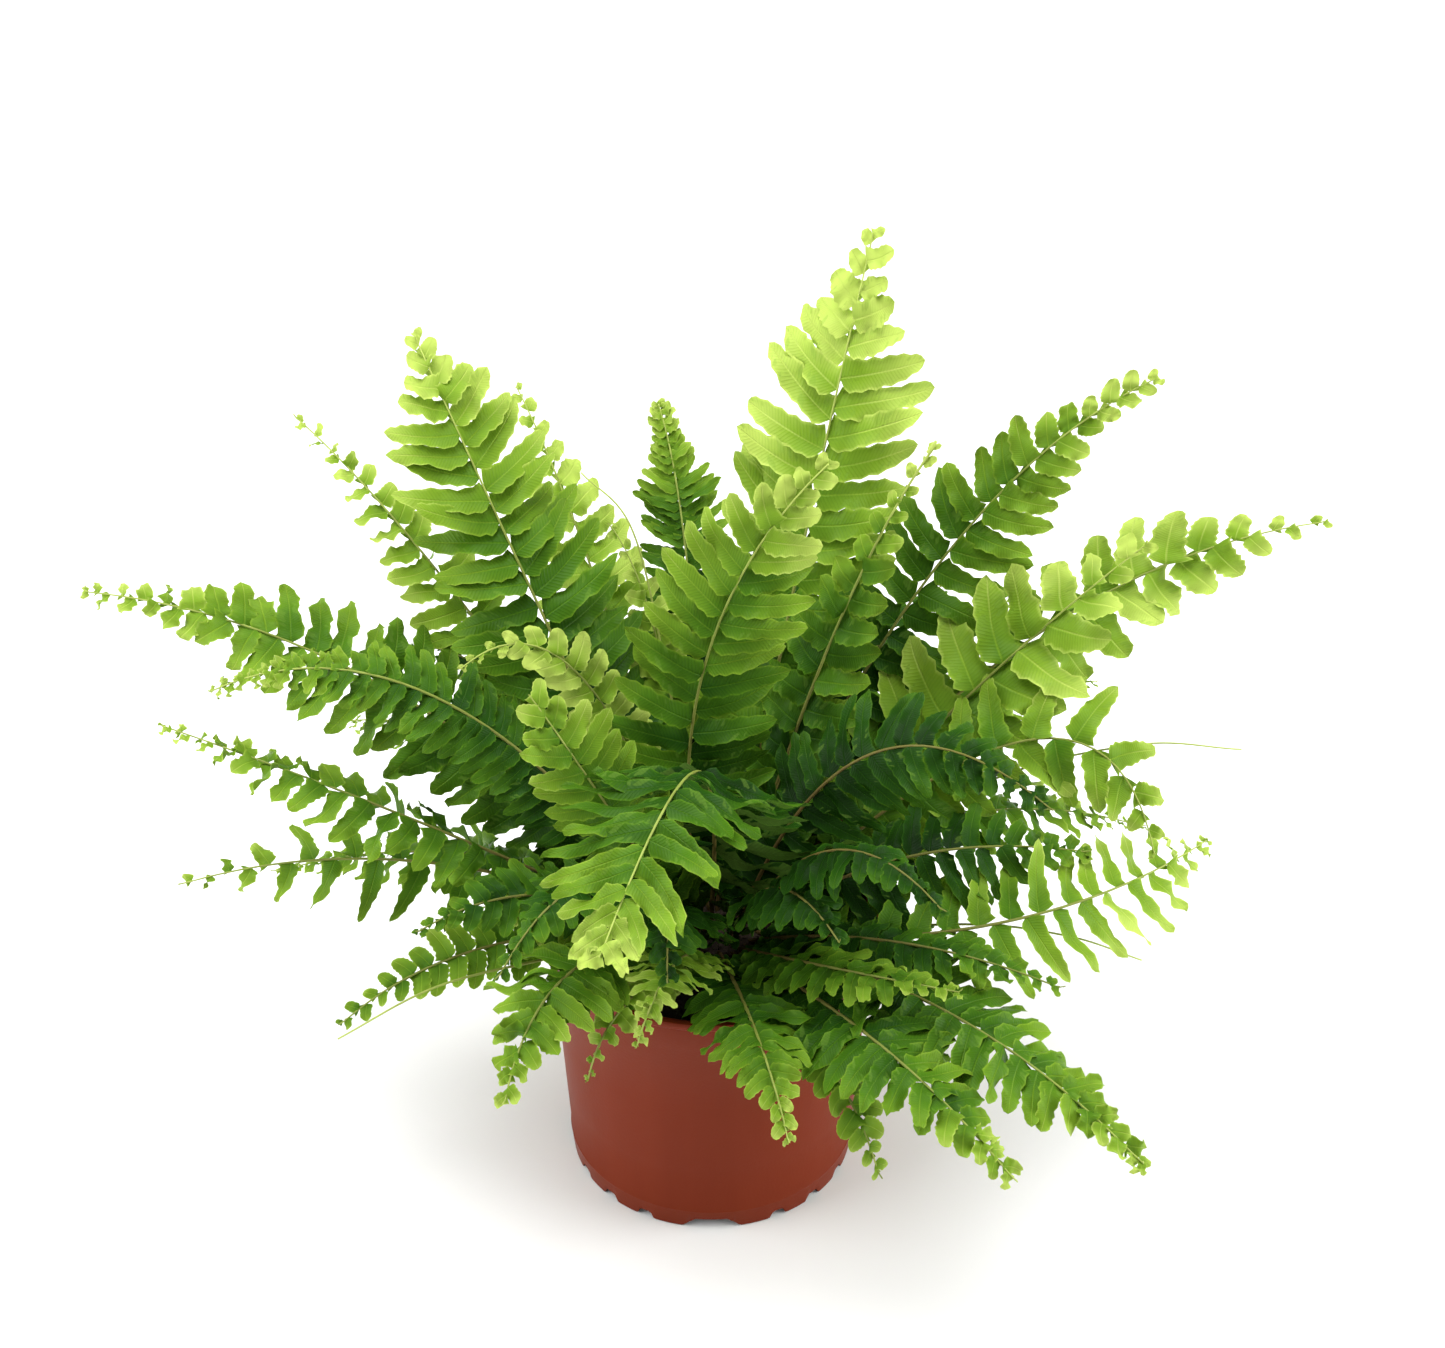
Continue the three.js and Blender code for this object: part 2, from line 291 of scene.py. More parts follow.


# Colour, glow colour, normal and gloss of a leaflet, from its tone and its own along and across, with a
# painted highlight along its margins
def leafPatternGroup():
    p = leafPaint
    tree, given, result = newGroup(
        "leafPattern", {"Tone": "Float", "Leaflet": "Vector", "Place": "Vector"},
        {"Colour": "Color", "Glow": "Color", "Normal": "Vector", "Gloss": "Float"})
    parts = addNode(tree, "ShaderNodeSeparateXYZ")
    tree.links.new(given["Leaflet"], parts.inputs[0])
    along = parts.outputs[0]
    side = mathNode(tree, "ABSOLUTE", parts.outputs[1])
    # side veins run forward from the midvein, so their phase slides with the distance across
    phase = minus(tree, times(tree, along, p["veinCount"]), times(tree, side, p["veinSlant"]))
    wave = mathNode(tree, "SINE", times(tree, phase, 2 * math.pi))
    veins = mathNode(tree, "POWER", plus(tree, times(tree, wave, 0.5), 0.5), 3.0)
    midvein = minus(tree, 1.0, times(tree, side, p["midveinNarrow"]), clamp=True)
    # painted highlight: the colour grows lighter towards the leaflet's edge
    edgeHighlight = times(tree, minus(tree, side, p["edgeHighlightStart"]), p["edgeHighlightRise"], clamp=True)
    patch = minus(tree, noiseAt(tree, given["Place"], p["patchScale"], detail=4.0), 0.5)
    shade = plus(tree, given["Tone"], times(tree, patch, p["patches"]))
    shade = plus(tree, shade, times(tree, edgeHighlight, p["edgeHighlight"]))
    shade = plus(tree, shade, times(tree, midvein, p["midvein"]))
    shade = minus(tree, shade, times(tree, veins, p["veins"]), clamp=True)
    tree.links.new(ramp(tree, shade, p["stops"]), result["Colour"])
    through = mathNode(tree, "POWER", shade, p["glowCurve"])
    tree.links.new(mixColour(tree, through, p["glowDark"], p["glowLight"]), result["Glow"])
    grain = times(tree, noiseAt(tree, given["Place"], p["grainScale"], detail=2.0), 0.7)
    height = plus(tree, times(tree, veins, 0.25), grain)
    height = minus(tree, height, times(tree, midvein, 0.8))
    tree.links.new(bumpNode(tree, height, strength=0.6, distance=0.0005), result["Normal"])
    gloss = noiseAt(tree, given["Place"], p["glossScale"], detail=2.0)
    tree.links.new(times(tree, gloss, p["glossSpread"]), result["Gloss"])
    return tree


def leafMaterial(name, pattern, face):
    material, tree, shader = newMaterial(name)
    looks = useGroup(tree, pattern, {
        "Tone": toneOf(tree),
        "Leaflet": addNode(tree, "ShaderNodeUVMap", uv_map="leaf").outputs[0],
        "Place": objectPlace(tree),
    })
    colour = looks["Colour"]
    if face["pale"]:
        colour = mixColour(tree, face["pale"], colour, leafPaint["paleUnder"])
    tree.links.new(colour, shader.inputs["Base Color"])
    tree.links.new(looks["Normal"], shader.inputs["Normal"])
    tree.links.new(plus(tree, looks["Gloss"], face["roughness"]), shader.inputs["Roughness"])
    shader.inputs["Specular IOR Level"].default_value = leafPaint["shine"]
    glow = addNode(tree, "ShaderNodeBsdfTranslucent")
    tree.links.new(looks["Glow"], glow.inputs["Color"])
    blend = addNode(tree, "ShaderNodeMixShader")
    blend.inputs[0].default_value = leafPaint["glow"]
    tree.links.new(shader.outputs[0], blend.inputs[1])
    tree.links.new(glow.outputs[0], blend.inputs[2])
    tree.links.new(blend.outputs[0], tree.nodes["Material Output"].inputs[0])
    return material


stemPaint = {
    "stops": [
        (0.00, (0.060, 0.034, 0.012)),
        (0.35, (0.120, 0.090, 0.022)),
        (0.70, (0.185, 0.230, 0.038)),
        (1.00, (0.420, 0.520, 0.110)),
    ],
    "grainScale": 180.0,
    "grainShade": 0.25,
    "roughness": 0.5,
    "shine": 0.2,
}


def stemMaterial():
    p = stemPaint
    material, tree, shader = newMaterial("stemGreen")
    tone = toneOf(tree)
    grain = noiseAt(tree, objectPlace(tree), p["grainScale"], detail=3.0)
    change = times(tree, minus(tree, grain, 0.5), p["grainShade"])
    shade = plus(tree, tone, change, clamp=True)
    tree.links.new(ramp(tree, shade, p["stops"]), shader.inputs["Base Color"])
    shader.inputs["Roughness"].default_value = p["roughness"]
    shader.inputs["Specular IOR Level"].default_value = p["shine"]
    tree.links.new(bumpNode(tree, grain, strength=0.4, distance=0.0003), shader.inputs["Normal"])
    return material


potPaint = {
    "clay": dict(base=(0.138, 0.0185, 0.0055), light=(0.185, 0.029, 0.010), roughness=0.34),
    "shade": dict(base=(0.012, 0.008, 0.007), light=(0.022, 0.014, 0.012), roughness=0.5),
    "cloudScale": 14.0,
    "grainScale": 900.0,
    "streakScale": (160, 160, 5),
    "glossSpread": 0.16,
    "shine": 0.07,
}


# Moulded plastic: clouds and faint upright streaks in the colour, fine grain in the surface
def plasticGroup():
    p = potPaint
    tree, given, result = newGroup(
        "mouldedPlastic", {"Place": "Vector", "Base": "Color", "Light": "Color"},
        {"Colour": "Color", "Gloss": "Float", "Normal": "Vector"})
    cloud = noiseAt(tree, given["Place"], p["cloudScale"], detail=4.0)
    grain = noiseAt(tree, given["Place"], p["grainScale"], detail=2.0)
    stretch = addNode(tree, "ShaderNodeMapping")
    stretch.inputs["Scale"].default_value = p["streakScale"]
    tree.links.new(given["Place"], stretch.inputs["Vector"])
    streak = noiseAt(tree, stretch.outputs[0], 1.0, detail=2.0)
    factor = plus(tree, times(tree, cloud, 0.5), times(tree, streak, 0.3), clamp=True)
    tree.links.new(mixColour(tree, factor, given["Base"], given["Light"]), result["Colour"])
    tree.links.new(times(tree, cloud, p["glossSpread"]), result["Gloss"])
    height = plus(tree, times(tree, grain, 0.6), times(tree, streak, 0.5))
    tree.links.new(bumpNode(tree, height, strength=0.25, distance=0.0003), result["Normal"])
    return tree


def potMaterial(name, plastic, paint):
    material, tree, shader = newMaterial(name)
    looks = useGroup(tree, plastic, {
        "Place": objectPlace(tree), "Base": paint["base"], "Light": paint["light"]})
    tree.links.new(looks["Colour"], shader.inputs["Base Color"])
    tree.links.new(plus(tree, looks["Gloss"], paint["roughness"]), shader.inputs["Roughness"])
    tree.links.new(looks["Normal"], shader.inputs["Normal"])
    shader.inputs["Specular IOR Level"].default_value = potPaint["shine"]
    return material


earthPaint = {
    "soil": dict(dark=(0.008, 0.006, 0.004), light=(0.045, 0.030, 0.018), grain=420.0),
    "crown": dict(dark=(0.010, 0.006, 0.003), light=(0.050, 0.029, 0.013), grain=260.0),
    "grainHarshness": 0.7,
    "roughness": 0.9,
}


def earthGroup():
    tree, given, result = newGroup(
        "earthGrain", {"Place": "Vector", "Scale": "Float", "Dark": "Color", "Light": "Color"},
        {"Colour": "Color", "Normal": "Vector"})
    grain = noiseAt(tree, given["Place"], given["Scale"], detail=5.0)
    grain.node.inputs["Roughness"].default_value = earthPaint["grainHarshness"]
    tree.links.new(mixColour(tree, grain, given["Dark"], given["Light"]), result["Colour"])
    tree.links.new(bumpNode(tree, grain, strength=0.8, distance=0.001), result["Normal"])
    return tree


def earthMaterial(name, earth, paint):
    material, tree, shader = newMaterial(name)
    looks = useGroup(tree, earth, {
        "Place": objectPlace(tree), "Scale": paint["grain"],
        "Dark": paint["dark"], "Light": paint["light"]})
    tree.links.new(looks["Colour"], shader.inputs["Base Color"])
    tree.links.new(looks["Normal"], shader.inputs["Normal"])
    shader.inputs["Roughness"].default_value = earthPaint["roughness"]
    return material


# A frond follows one parabola that leaves the crown, passes through mid halfway and ends at tip, in mm.
# The last two lines are what a frond has unless its own entry says otherwise.
frondPlan = {
    "startHeight": 100.5,
    "rootHeight": 97.0,
    "ribPoints": 90,
    "coilTurn": 7.5,            # radians that the tip rolls up
    "coilPoints": 34,
    "bare": 0.09,               # share of the midrib below the first leaflets
    "spacing": 7.2,
    "leafletShare": 0.51,       # half a leaflet's width, of the distance between leaflets
    "shortest": 2.6,
    "widest": 0.40,             # half a leaflet's width is at most this share of its length
    "lean": (5, 36),            # degrees towards the tip at the foot, and how many more at the tip
    "sweep": 0.15,
    "fold": 0.06,
    "tooth": 0.075,
    "toothLength": 16.0,        # leaflets shorter than this have weaker teeth
    "shingle": -14,             # degrees that each leaflet tilts over the next
    "tipLight": 0.22,
    "leafletLength": 14,        # quads along a leaflet
    "leafletWidth": 4,          # quads across its upper face
    "leafletThick": 0.30,
    "stemSides": 6,
    "stemSteps": 40,
    "stemRadius": (0.66, 0.26),
    "edgeAngle": 75,            # sharper edges than this are shaded as creases
    "gap": 1, "wide": 1, "narrow": 1, "taper": 0.42, "least": 0.28, "mood": 1.5,
    "droop": 6, "curl": 12, "twist": 8, "spiral": 10, "ruffle": 0.28, "coil": 1.2,
}

# ring is how far the foot is from the middle, half the longest leaflet, face the way the blade faces.
# tone goes from dark to light between foot and tip, and mood bends that change.
# gap spaces the leaflets, wide and narrow scale their width, taper and least shorten them to the tip.
# droop, curl, twist and spiral turn a leaflet in degrees, and ruffle waves its edges.
fronds = [
    dict(name="back_tall", ring=12, mid=(30, 42, 222), tip=(55, 85, 330), half=36,
         age="grown", face=(-0.3, -0.9, 0.4), tone=(0.38, 1.05), mood=1.4, gap=1.4, wide=1.12,
         taper=0.28),
    dict(name="left_tall", ring=13, mid=(-58, 38, 205), tip=(-103, 88, 290), half=34,
         age="grown", face=(0.3, -0.85, 0.45), tone=(0.12, 1.0), mood=1.6, gap=1.15, wide=1.15,
         taper=0.25, curl=18),
    dict(name="left_tall_rear", ring=15, mid=(-42, 85, 190), tip=(-72, 133, 246), half=24,
         age="young", face=(0.2, -0.8, 0.5), tone=(0.7, 0.9), gap=1.4, wide=0.95),
    dict(name="dark_narrow", ring=17, mid=(-8, 72, 198), tip=(-19, 112, 250), half=19,
         age="old", face=(0, -0.8, 0.5), tone=(0.1, 0.85), mood=2.5, gap=0.47, wide=1.35,
         ruffle=0.4, taper=0.25, least=0.4),
    dict(name="lime_left", ring=17, mid=(-90, 62, 198), tip=(-152, 112, 246), half=20,
         age="young", face=(0.3, -0.7, 0.6), tone=(0.45, 0.95), gap=1.25, twist=22),
    dict(name="left_long", ring=17, mid=(-114, 32, 180), tip=(-223, 60, 203), half=27,
         age="grown", face=(0, -0.6, 0.8), tone=(0.22, 0.85), gap=1.25, curl=20, ruffle=0.4,
         twist=18, wide=1.1),
    dict(name="left_arch", ring=14, mid=(-90, -5, 200), tip=(-172, 10, 194), half=20,
         age="grown", face=(0, -0.5, 0.85), tone=(0.06, 0.9), mood=1.8, gap=0.8, wide=1.05,
         droop=12, curl=24, ruffle=0.45),
    dict(name="left_edge", ring=18, mid=(-105, -16, 160), tip=(-190, 8, 181), half=22,
         age="grown", face=(0, 0.05, 1), tone=(0.3, 0.8), gap=1.15, ruffle=0.4, twist=30, curl=25,
         droop=14),
    dict(name="left_sparse", ring=21, mid=(-105, -5, 132), tip=(-187, -8, 124), half=24,
         age="grown", face=(0, -0.5, 0.85), tone=(0.35, 0.75), gap=2.1, droop=25, spiral=40,
         narrow=0.5, ruffle=0.35, taper=0.4),
    dict(name="round_left", ring=22, mid=(-80, -30, 113), tip=(-127, -52, 98), half=15,
         age="grown", face=(0, -0.6, 0.8), tone=(0.45, 0.66), gap=1.0, droop=-6, ruffle=0.12,
         taper=0.45, least=0.4),
    dict(name="drop_left", ring=20, mid=(-48, -62, 128), tip=(-67, -105, 110), half=25,
         age="young", tone=(0.4, 0.8), mood=2, gap=1.0, wide=1.05, ruffle=0.45, twist=14, droop=6),
    dict(name="center_tall", ring=5, mid=(-3, -5, 210), tip=(38, 5, 286), half=31,
         age="grown", face=(0, -1, 0.3), tone=(0.1, 0.95), mood=1.3, gap=1.2, taper=0.3),
    dict(name="coil_tip", ring=10, mid=(42, 24, 207), tip=(75, 38, 274), half=20,
         age="young", face=(-0.4, -1, 0.4), tone=(0.25, 0.95), mood=2.6, gap=1.5, coil=3.4,
         twist=18, droop=2, taper=0.5),
    dict(name="right_tall", ring=15, mid=(80, 62, 212), tip=(152, 68, 284), half=30,
         age="grown", face=(-0.3, -0.8, 0.5), tone=(0.14, 0.9), gap=1.25, ruffle=0.42),
    dict(name="right_long", ring=19, mid=(118, 68, 179), tip=(221, 82, 219), half=24,
         age="young", face=(-0.1, -0.7, 0.7), tone=(0.5, 0.9), gap=1.9, twist=15, taper=0.3),
    dict(name="right_light", ring=15, mid=(92, 30, 180), tip=(151, 42, 234), half=33,
         age="young", face=(-0.3, -0.7, 0.6), tone=(0.45, 0.92), gap=2.0, twist=16, droop=2,
         taper=0.34),
    dict(name="right_dark_upper", ring=10, mid=(53, -22, 190), tip=(113, -36, 178), half=26,
         age="old", face=(0.1, -0.55, 0.8), tone=(0.04, 0.24), mood=1.5, wide=0.9, ruffle=0.35,
         droop=16, curl=20),
    dict(name="right_dark_lower", ring=18, mid=(68, -12, 139), tip=(132, -5, 136), half=27,
         age="old", face=(0.1, -0.5, 0.85), tone=(0.04, 0.58), mood=2.2, wide=0.9, ruffle=0.35,
         droop=12, curl=20),
    dict(name="right_hanging", ring=20, mid=(101, -34, 128), tip=(180, 25, 118), half=28,
         age="young", face=(0, -0.6, 0.8), tone=(0.45, 0.9), gap=1.5, narrow=0.75, droop=10,
         ruffle=0.3, taper=0.3),
    dict(name="right_curved", ring=17, mid=(110, 12, 172), tip=(155, -8, 138), half=27,
         age="young", face=(0, -0.7, 0.6), tone=(0.45, 0.8), gap=1.9, narrow=0.75, droop=12,
         spiral=25, ruffle=0.3, taper=0.3),
    dict(name="front_small", ring=19, mid=(45, -62, 130), tip=(82, -78, 134), half=19,
         age="grown", tone=(0.28, 0.7), gap=0.85, ruffle=0.35),
    dict(name="front_right", ring=21, mid=(80, -75, 122), tip=(139, -122, 100), half=30,
         age="grown", tone=(0.2, 0.82), mood=2, gap=0.95, wide=1.2, ruffle=0.4, twist=12,
         taper=0.42, droop=2),
    dict(name="front_fall", ring=22, mid=(57, -92, 122), tip=(97, -132, 102), half=28,
         age="grown", tone=(0.18, 0.82), mood=2, gap=0.92, wide=1.18, ruffle=0.42, twist=12,
         taper=0.45, droop=3),
    dict(name="front_center", ring=20, mid=(16, -88, 122), tip=(25, -122, 110), half=21,
         age="grown", tone=(0.2, 0.85), mood=2, gap=0.8, wide=1.05, ruffle=0.4, twist=15, droop=6),
    dict(name="front_rounded", ring=23, mid=(38, -80, 108), tip=(56, -105, 78), half=11,
         age="young", tone=(0.5, 0.7), gap=1.0, wide=1.1, taper=0.2, least=0.5, ruffle=0.1),
    dict(name="center_arch", ring=6, mid=(-4, -48, 202), tip=(-33, -127, 190), half=37,
         age="old", tone=(0.03, 1.0), mood=3, gap=1.05, narrow=0.9, ruffle=0.5, twist=16, droop=26,
         curl=-36, taper=0.2, least=0.4),
    dict(name="left_mid", ring=10, mid=(-35, -38, 182), tip=(-58, -35, 222), half=21,
         age="young", face=(0.1, -0.85, 0.5), tone=(0.3, 0.75), gap=1.1, taper=0.2, least=0.5,
         droop=0, curl=8),
    dict(name="lime_small", ring=8, mid=(-43, 6, 201), tip=(-84, 4, 208), half=13,
         age="young", face=(0, -0.7, 0.7), tone=(0.68, 0.95), gap=1.05, droop=0, curl=6, taper=0.3),
    dict(name="front_tiny", ring=23, mid=(-30, -68, 118), tip=(-41, -80, 98), half=12,
         age="young", tone=(0.7, 0.75), gap=1.1),
    dict(name="front_pale", ring=18, mid=(-14, -68, 134), tip=(-24, -88, 120), half=17,
         age="young", tone=(0.55, 0.85), gap=0.8, narrow=0.7, ruffle=0.5, twist=25),
    dict(name="left_pale", ring=22, mid=(-52, -28, 128), tip=(-85, -32, 132), half=14,
         age="young", face=(0, -0.6, 0.8), tone=(0.55, 0.85), ruffle=0.4),
    dict(name="fill_left", ring=14, mid=(-56, -34, 140), tip=(-98, -54, 140), half=18,
         age="old", face=(0, -0.5, 0.85), tone=(0.08, 0.45), gap=0.9, ruffle=0.3),
    dict(name="fill_front_left", ring=13, mid=(-38, -52, 160), tip=(-68, -92, 152), half=20,
         age="old", tone=(0.04, 0.4), gap=0.9, ruffle=0.3, droop=12, curl=20),
    dict(name="fill_front_right", ring=12, mid=(40, -42, 165), tip=(75, -78, 168), half=20,
         age="old", tone=(0, 0.22), gap=0.9, ruffle=0.25, droop=14, curl=25),
    dict(name="fill_right", ring=19, mid=(66, -43, 126), tip=(118, -62, 122), half=19,
         age="grown", tone=(0.08, 0.55), gap=0.9, ruffle=0.3),
    dict(name="fill_rear_left", ring=14, mid=(-70, 55, 160), tip=(-112, 80, 165), half=20,
         age="old", face=(0, -0.5, 0.85), tone=(0.1, 0.4), ruffle=0.4),
    dict(name="fill_rear_right", ring=16, mid=(50, 64, 160), tip=(92, 110, 178), half=20,
         age="old", tone=(0.1, 0.4)),
    dict(name="fill_rear", ring=14, mid=(25, 68, 165), tip=(45, 120, 195), half=20,
         age="old", tone=(0.1, 0.4)),
    dict(name="lime_rear", ring=12, mid=(-18, 50, 182), tip=(-36, 74, 222), half=15,
         age="young", face=(0, -0.8, 0.5), tone=(0.6, 0.9), gap=1.2),
    dict(name="center_low_left", ring=12, mid=(-12, -42, 140), tip=(-14, -82, 142), half=21,
         age="old", tone=(0, 0.2), gap=0.9, ruffle=0.3, droop=12),
    dict(name="center_low_right", ring=12, mid=(22, -38, 146), tip=(42, -74, 152), half=21,
         age="old", tone=(0, 0.2), gap=0.9, ruffle=0.3, droop=12),
    dict(name="fill_rear_tall", ring=8, mid=(12, 44, 185), tip=(20, 74, 226), half=17,
         age="old", tone=(0.1, 0.4)),
    dict(name="front_left_low", ring=21, mid=(-42, -50, 114), tip=(-60, -80, 118), half=18,
         age="grown", tone=(0.2, 0.6), ruffle=0.4),
    dict(name="rear_right", ring=20, mid=(82, 68, 140), tip=(150, 118, 125), half=22,
         age="grown", tone=(0.3, 0.75)),
    dict(name="rear_right_low", ring=23, mid=(90, 40, 118), tip=(165, 68, 92), half=20,
         age="grown", tone=(0.3, 0.75)),
    dict(name="rear_mid_right", ring=21, mid=(45, 82, 135), tip=(80, 131, 112), half=20,
         age="grown", tone=(0.3, 0.75)),
    dict(name="rear_mid", ring=20, mid=(8, 85, 145), tip=(5, 132, 135), half=22,
         age="grown", tone=(0.3, 0.75)),
    dict(name="rear_mid_left", ring=21, mid=(-38, 82, 130), tip=(-68, 130, 108), half=20,
         age="grown", tone=(0.3, 0.75)),
    dict(name="rear_left", ring=20, mid=(-82, 62, 132), tip=(-150, 108, 112), half=22,
         age="grown", tone=(0.3, 0.75)),
    dict(name="rear_left_low", ring=23, mid=(-90, 25, 112), tip=(-165, 45, 88), half=18,
         age="grown", tone=(0.3, 0.75)),
    dict(name="rear_low", ring=24, mid=(10, 72, 112), tip=(25, 112, 78), half=15,
         age="young", tone=(0.5, 0.85)),
    dict(name="rear_low_left", ring=24, mid=(-55, 55, 112), tip=(-88, 88, 78), half=15,
         age="young", tone=(0.5, 0.85)),
]


# One leaflet lies flat on the grid from -1 to 1: x along it, y across it, z for the upper or under side
def leafletTemplate(plan):
    bm = bmesh.new()
    bmesh.ops.create_grid(bm, x_segments=plan["leafletLength"], y_segments=plan["leafletWidth"], size=1)
    upper = list(bm.verts)
    under = bmesh.ops.create_grid(bm, x_segments=plan["leafletLength"], y_segments=2, size=1)["verts"]
    underFaces = {face for v in under for face in v.link_faces}
    bmesh.ops.reverse_faces(bm, faces=list(underFaces))
    for face in underFaces:
        face.material_index = 1
    for layer, height in ((upper, 1.0), (under, -1.0)):
        for v in layer:
            end = abs(v.co.x) > 0.99        # both ends draw in to a point
            v.co.z = 0.0 if end or abs(v.co.y) > 0.99 else height
            v.co.y = 0.0 if end else v.co.y
    bmesh.ops.remove_doubles(bm, verts=bm.verts, dist=1e-5)
    return bm


def stemTemplate(plan):
    bm = bmesh.new()
    bmesh.ops.create_cone(bm, cap_ends=True, segments=plan["stemSides"], radius1=1, radius2=1, depth=1)
    upright = [e for e in bm.edges if abs(e.verts[0].co.z - e.verts[1].co.z) > 0.5]
    bmesh.ops.subdivide_edges(bm, edges=upright, cuts=plan["stemSteps"] - 1)
    for face in bm.faces:
        face.material_index = 2
    return bm


def templateMesh(bm, name):
    mesh = meshFrom(bm, name)
    spots = np.zeros(len(mesh.vertices) * 3, np.float32)
    mesh.vertices.foreach_get("co", spots)
    return mesh, spots.reshape(-1, 3).astype(float)


def placeSpots(mesh, spots):
    mesh.vertices.foreach_set("co", (spots * mm).astype(np.float32).ravel())


def addTone(mesh, tones):
    mesh.attributes.new("tone", "FLOAT", "POINT").data.foreach_set("value", tones.astype(np.float32))


def addLeafUv(mesh, uvs):
    corner = np.zeros(len(mesh.loops), np.int32)
    mesh.loops.foreach_get("vertex_index", corner)
    layer = mesh.uv_layers.new(name="leaf")
    layer.data.foreach_set("uv", uvs[corner].astype(np.float32).ravel())


def unit(rows):
    return rows / np.linalg.norm(rows, axis=-1, keepdims=True)


def withLength(path):
    step = np.linalg.norm(np.diff(path["spots"], axis=0), axis=1)
    path["length"] = np.concatenate([[0], np.cumsum(step)])
    return path


# The midrib as points, each with its direction, the way across the blade and the way up from it.
# It starts inside the crown and ends in a small coil.
def frondPath(plan):
    mid, tip = np.array(plan["mid"], float), np.array(plan["tip"], float)
    outward = unit(np.array([mid[0], mid[1], 0.0]))
    foot = outward * plan["ring"]
    foot[2] = plan["startHeight"]
    pull = 2 * mid - (foot + tip) / 2
    t = np.linspace(0, 1, plan["ribPoints"])[:, None]
    spots = foot * (1 - t) ** 2 + 2 * pull * t * (1 - t) + tip * t ** 2
    along = unit(2 * (pull - foot) * (1 - t) + 2 * (tip - pull) * t)
    reach = tip - foot
    level = np.cross([0, 0, 1.0], [reach[0], reach[1], 0])
    side = np.cross(plan["face"], along) if "face" in plan else np.repeat(level[None, :], len(t), 0)
    across = unit(side - along * (side * along).sum(1, keepdims=True))
    up = unit(np.cross(along, across))
    root = foot - along[0] * (foot[2] - plan["rootHeight"]) / max(along[0][2], 0.35)
    bladeEnd = withLength({"spots": np.vstack([root, spots])})["length"][-1]

    turn = np.linspace(0, plan["coilTurn"], plan["coilPoints"])[1:, None]
    shrink = plan["coil"] * (1 - turn / 10)
    centre = spots[-1] + up[-1] * plan["coil"]
    coil = centre - up[-1] * shrink * np.cos(turn) + along[-1] * shrink * np.sin(turn)
    coilAlong = along[-1] * np.cos(turn) + up[-1] * np.sin(turn)
    coilUp = up[-1] * np.cos(turn) - along[-1] * np.sin(turn)
    coilAcross = np.repeat(across[-1:], len(turn), 0)
    return withLength({
        "spots": np.vstack([root, spots, coil]),
        "along": np.vstack([along[:1], along, coilAlong]),
        "across": np.vstack([across[:1], across, coilAcross]),
        "up": np.vstack([up[:1], up, coilUp]),
        "bladeEnd": bladeEnd,
    })


def pathAt(path, distance):
    rows = []
    for key in ("spots", "along", "across", "up"):
        table = path[key]
        row = np.stack([np.interp(distance, path["length"], table[:, k]) for k in range(3)], -1)
        rows.append(row if key == "spots" else unit(row))
    return rows


# Share of the greatest leaflet length at v, from 0 at the lowest leaflet to 1 at the tip
def bladeShare(v, taper, least):
    rise = np.minimum(1, 0.62 + v * 2.2)
    near = np.minimum(1, (1 - v) / taper)
    least = least * np.minimum(1, 0.5 + (1 - v) / 0.08)
    return rise * np.maximum(least, near ** 1.1 * (1.25 - 0.25 * near))


# Half the leaflet's width at u along it, as a share of its greatest, with the ear at its base
def leafletOutline(u, w, pointed):
    body = np.minimum(1, (u / 0.07) ** 0.6) * (1 - (0.20 + 0.45 * pointed) * u)
    start = 0.52 - 0.3 * pointed
    end = np.clip((u - start) / (1 - start), 0, 1)
    body = body * np.sqrt(np.clip(1 - end ** 2.2, 0, 1))
    ear = np.where(w > 0, 0.32 * np.exp(-((u - 0.11) / 0.08) ** 2),
                   -0.10 * np.exp(-((u - 0.08) / 0.08) ** 2))
    return body * (1 + ear)


# Side, distance along the midrib and share of the blade for each leaflet, from the foot up
def leafletPlaces(plan, path, rng):
    end = path["bladeEnd"]
    start = end * plan["bare"]
    gap = plan["spacing"] * plan["gap"]
    places = []
    s = start
    while s < end:
        places.append(s)
        s += gap * rng.uniform(0.92, 1.08)
    places = np.array(places)
    sides = np.concatenate([np.ones(len(places)), -np.ones(len(places))])
    distance = np.concatenate([places, np.minimum(places + gap * rng.uniform(0.3, 0.6), end)])
    order = np.argsort(distance, kind="stable")
    v = np.clip((distance[order] - start) / (end - start), 0, 1)
    return sides[order], distance[order], v


